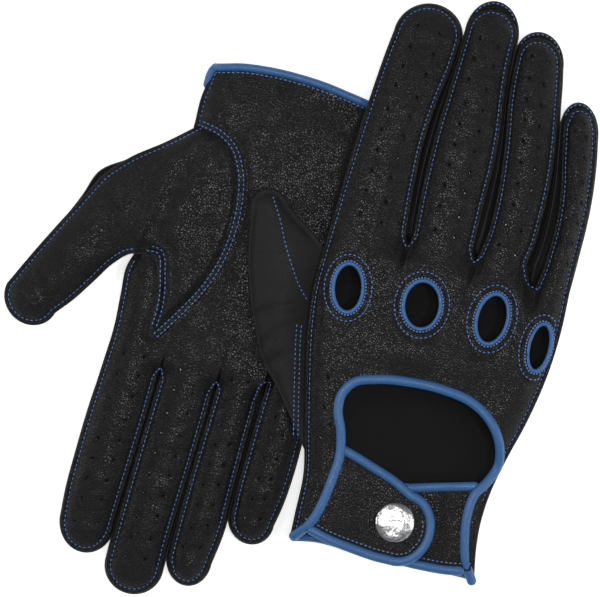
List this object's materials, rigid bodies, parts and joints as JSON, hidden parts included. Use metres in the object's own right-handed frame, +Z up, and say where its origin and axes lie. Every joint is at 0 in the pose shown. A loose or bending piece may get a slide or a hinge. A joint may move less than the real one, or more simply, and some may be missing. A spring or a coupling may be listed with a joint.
{
  "type": "leather driving gloves",
  "caption": "Unlined leather driving gloves with bound knuckle holes, an open back and a snap strap at the wrist, laid one on the other.",
  "frame": {"origin": "on the surface the gloves lie on, under the middle of their bounding box", "axes": "+Z up from that surface; +Y towards the fingertips of the front glove, which lies back up; +X towards its little finger"},
  "size_m": [0.2454, 0.2353, 0.0273],
  "materials": {
    "leather": "fine-grained black lamb leather, soft sheen",
    "fourchette_leather": "smooth black leather side strips",
    "binding": "smooth blue leather binding, half gloss",
    "snap_metal": "polished chrome plate"
  },
  "bodies": {
    "rear_glove": {"rear_hand_back": "leather", "rear_hand_palm": "leather", "rear_little_back": "leather", "rear_little_palm": "leather", "rear_fourchette_little_ring": "fourchette_leather", "rear_knuckle_bindings": "binding", "rear_opening_binding": "binding", "rear_wrist_binding": "binding", "rear_strap": "leather", "rear_strap_binding": "binding", "rear_under_flap": "leather", "rear_flap_binding": "binding", "rear_snap_cap": "snap_metal", "rear_snap_socket": "snap_metal", "rear_snap_stud": "snap_metal", "rear_snap_post": "snap_metal"},
    "rear_index": {"rear_index_back": "leather", "rear_index_palm": "leather", "rear_fourchette_index_middle": "fourchette_leather"},
    "rear_middle": {"rear_middle_back": "leather", "rear_middle_palm": "leather", "rear_fourchette_middle_ring": "fourchette_leather", "rear_fourchette_middle_index": "fourchette_leather"},
    "rear_ring": {"rear_ring_back": "leather", "rear_ring_palm": "leather", "rear_fourchette_ring_little": "fourchette_leather", "rear_fourchette_ring_middle": "fourchette_leather"},
    "rear_thumb": {"rear_thumb_back": "leather", "rear_thumb_palm": "leather"},
    "front_glove": {"front_hand_back": "leather", "front_hand_palm": "leather", "front_knuckle_bindings": "binding", "front_opening_binding": "binding", "front_wrist_binding": "binding", "front_under_flap": "leather", "front_flap_binding": "binding", "front_snap_stud": "snap_metal", "front_snap_post": "snap_metal"},
    "front_index": {"front_index_back": "leather", "front_index_palm": "leather", "front_fourchette_index_middle": "fourchette_leather"},
    "front_middle": {"front_middle_back": "leather", "front_middle_palm": "leather", "front_fourchette_middle_ring": "fourchette_leather", "front_fourchette_middle_index": "fourchette_leather"},
    "front_ring": {"front_ring_back": "leather", "front_ring_palm": "leather", "front_fourchette_ring_little": "fourchette_leather", "front_fourchette_ring_middle": "fourchette_leather"},
    "front_little": {"front_little_back": "leather", "front_little_palm": "leather", "front_fourchette_little_ring": "fourchette_leather"},
    "front_thumb": {"front_thumb_back": "leather", "front_thumb_palm": "leather"},
    "front_strap": {"front_strap": "leather", "front_strap_binding": "binding", "front_snap_cap": "snap_metal", "front_snap_socket": "snap_metal"}
  },
  "joints": [
    {"name": "front_glove_lift", "type": "slide", "parent": "rear_glove", "child": "front_glove", "axis": [0, 0, 1], "range_m": [0, 0.06]},
    {"name": "front_index_bend", "type": "hinge", "parent": "front_glove", "child": "front_index", "pos_m": [0.02804, 0.0269, 0.02395], "axis": [0.9441, -0.2978, -0.1412], "range_deg": [0, 35]},
    {"name": "front_middle_bend", "type": "hinge", "parent": "front_glove", "child": "front_middle", "pos_m": [0.05765, 0.02099, 0.01962], "axis": [0.9595, -0.2435, -0.1419], "range_deg": [0, 35]},
    {"name": "front_ring_bend", "type": "hinge", "parent": "front_glove", "child": "front_ring", "pos_m": [0.082, 0.01408, 0.016], "axis": [0.9718, -0.188, -0.142], "range_deg": [0, 35]},
    {"name": "front_little_bend", "type": "hinge", "parent": "front_glove", "child": "front_little", "pos_m": [0.10038, 0.00123, 0.01305], "axis": [0.9692, -0.2011, -0.142], "range_deg": [0, 35]},
    {"name": "rear_index_bend", "type": "hinge", "parent": "rear_glove", "child": "rear_index", "pos_m": [-0.06789, -0.02981, 0.012], "axis": [-0.9584, 0.2853, 0], "range_deg": [0, 70]},
    {"name": "rear_middle_bend", "type": "hinge", "parent": "rear_glove", "child": "rear_middle", "pos_m": [-0.04553, -0.03639, 0.012], "axis": [-0.9601, 0.2797, 0], "range_deg": [0, 70]},
    {"name": "rear_ring_bend", "type": "hinge", "parent": "rear_glove", "child": "rear_ring", "pos_m": [-0.02531, -0.04025, 0.012], "axis": [-0.9601, 0.2796, 0], "range_deg": [0, 70]},
    {"name": "rear_thumb_bend", "type": "hinge", "parent": "rear_glove", "child": "rear_thumb", "pos_m": [-0.05896, 0.03949, 0.012], "axis": [0.412, 0.9112, 0], "range_deg": [0, 40]},
    {"name": "front_thumb_spread", "type": "hinge", "parent": "front_glove", "child": "front_thumb", "pos_m": [0.00247, -0.06691, 0.01885], "axis": [0.1393, -0.0278, 0.9899], "range_deg": [0, 20]},
    {"name": "front_strap_open", "type": "hinge", "parent": "front_glove", "child": "front_strap", "pos_m": [0.01423, -0.07996, 0.0234], "axis": [-0.1959, -0.9806, 0], "range_deg": [0, 150]}
  ]
}
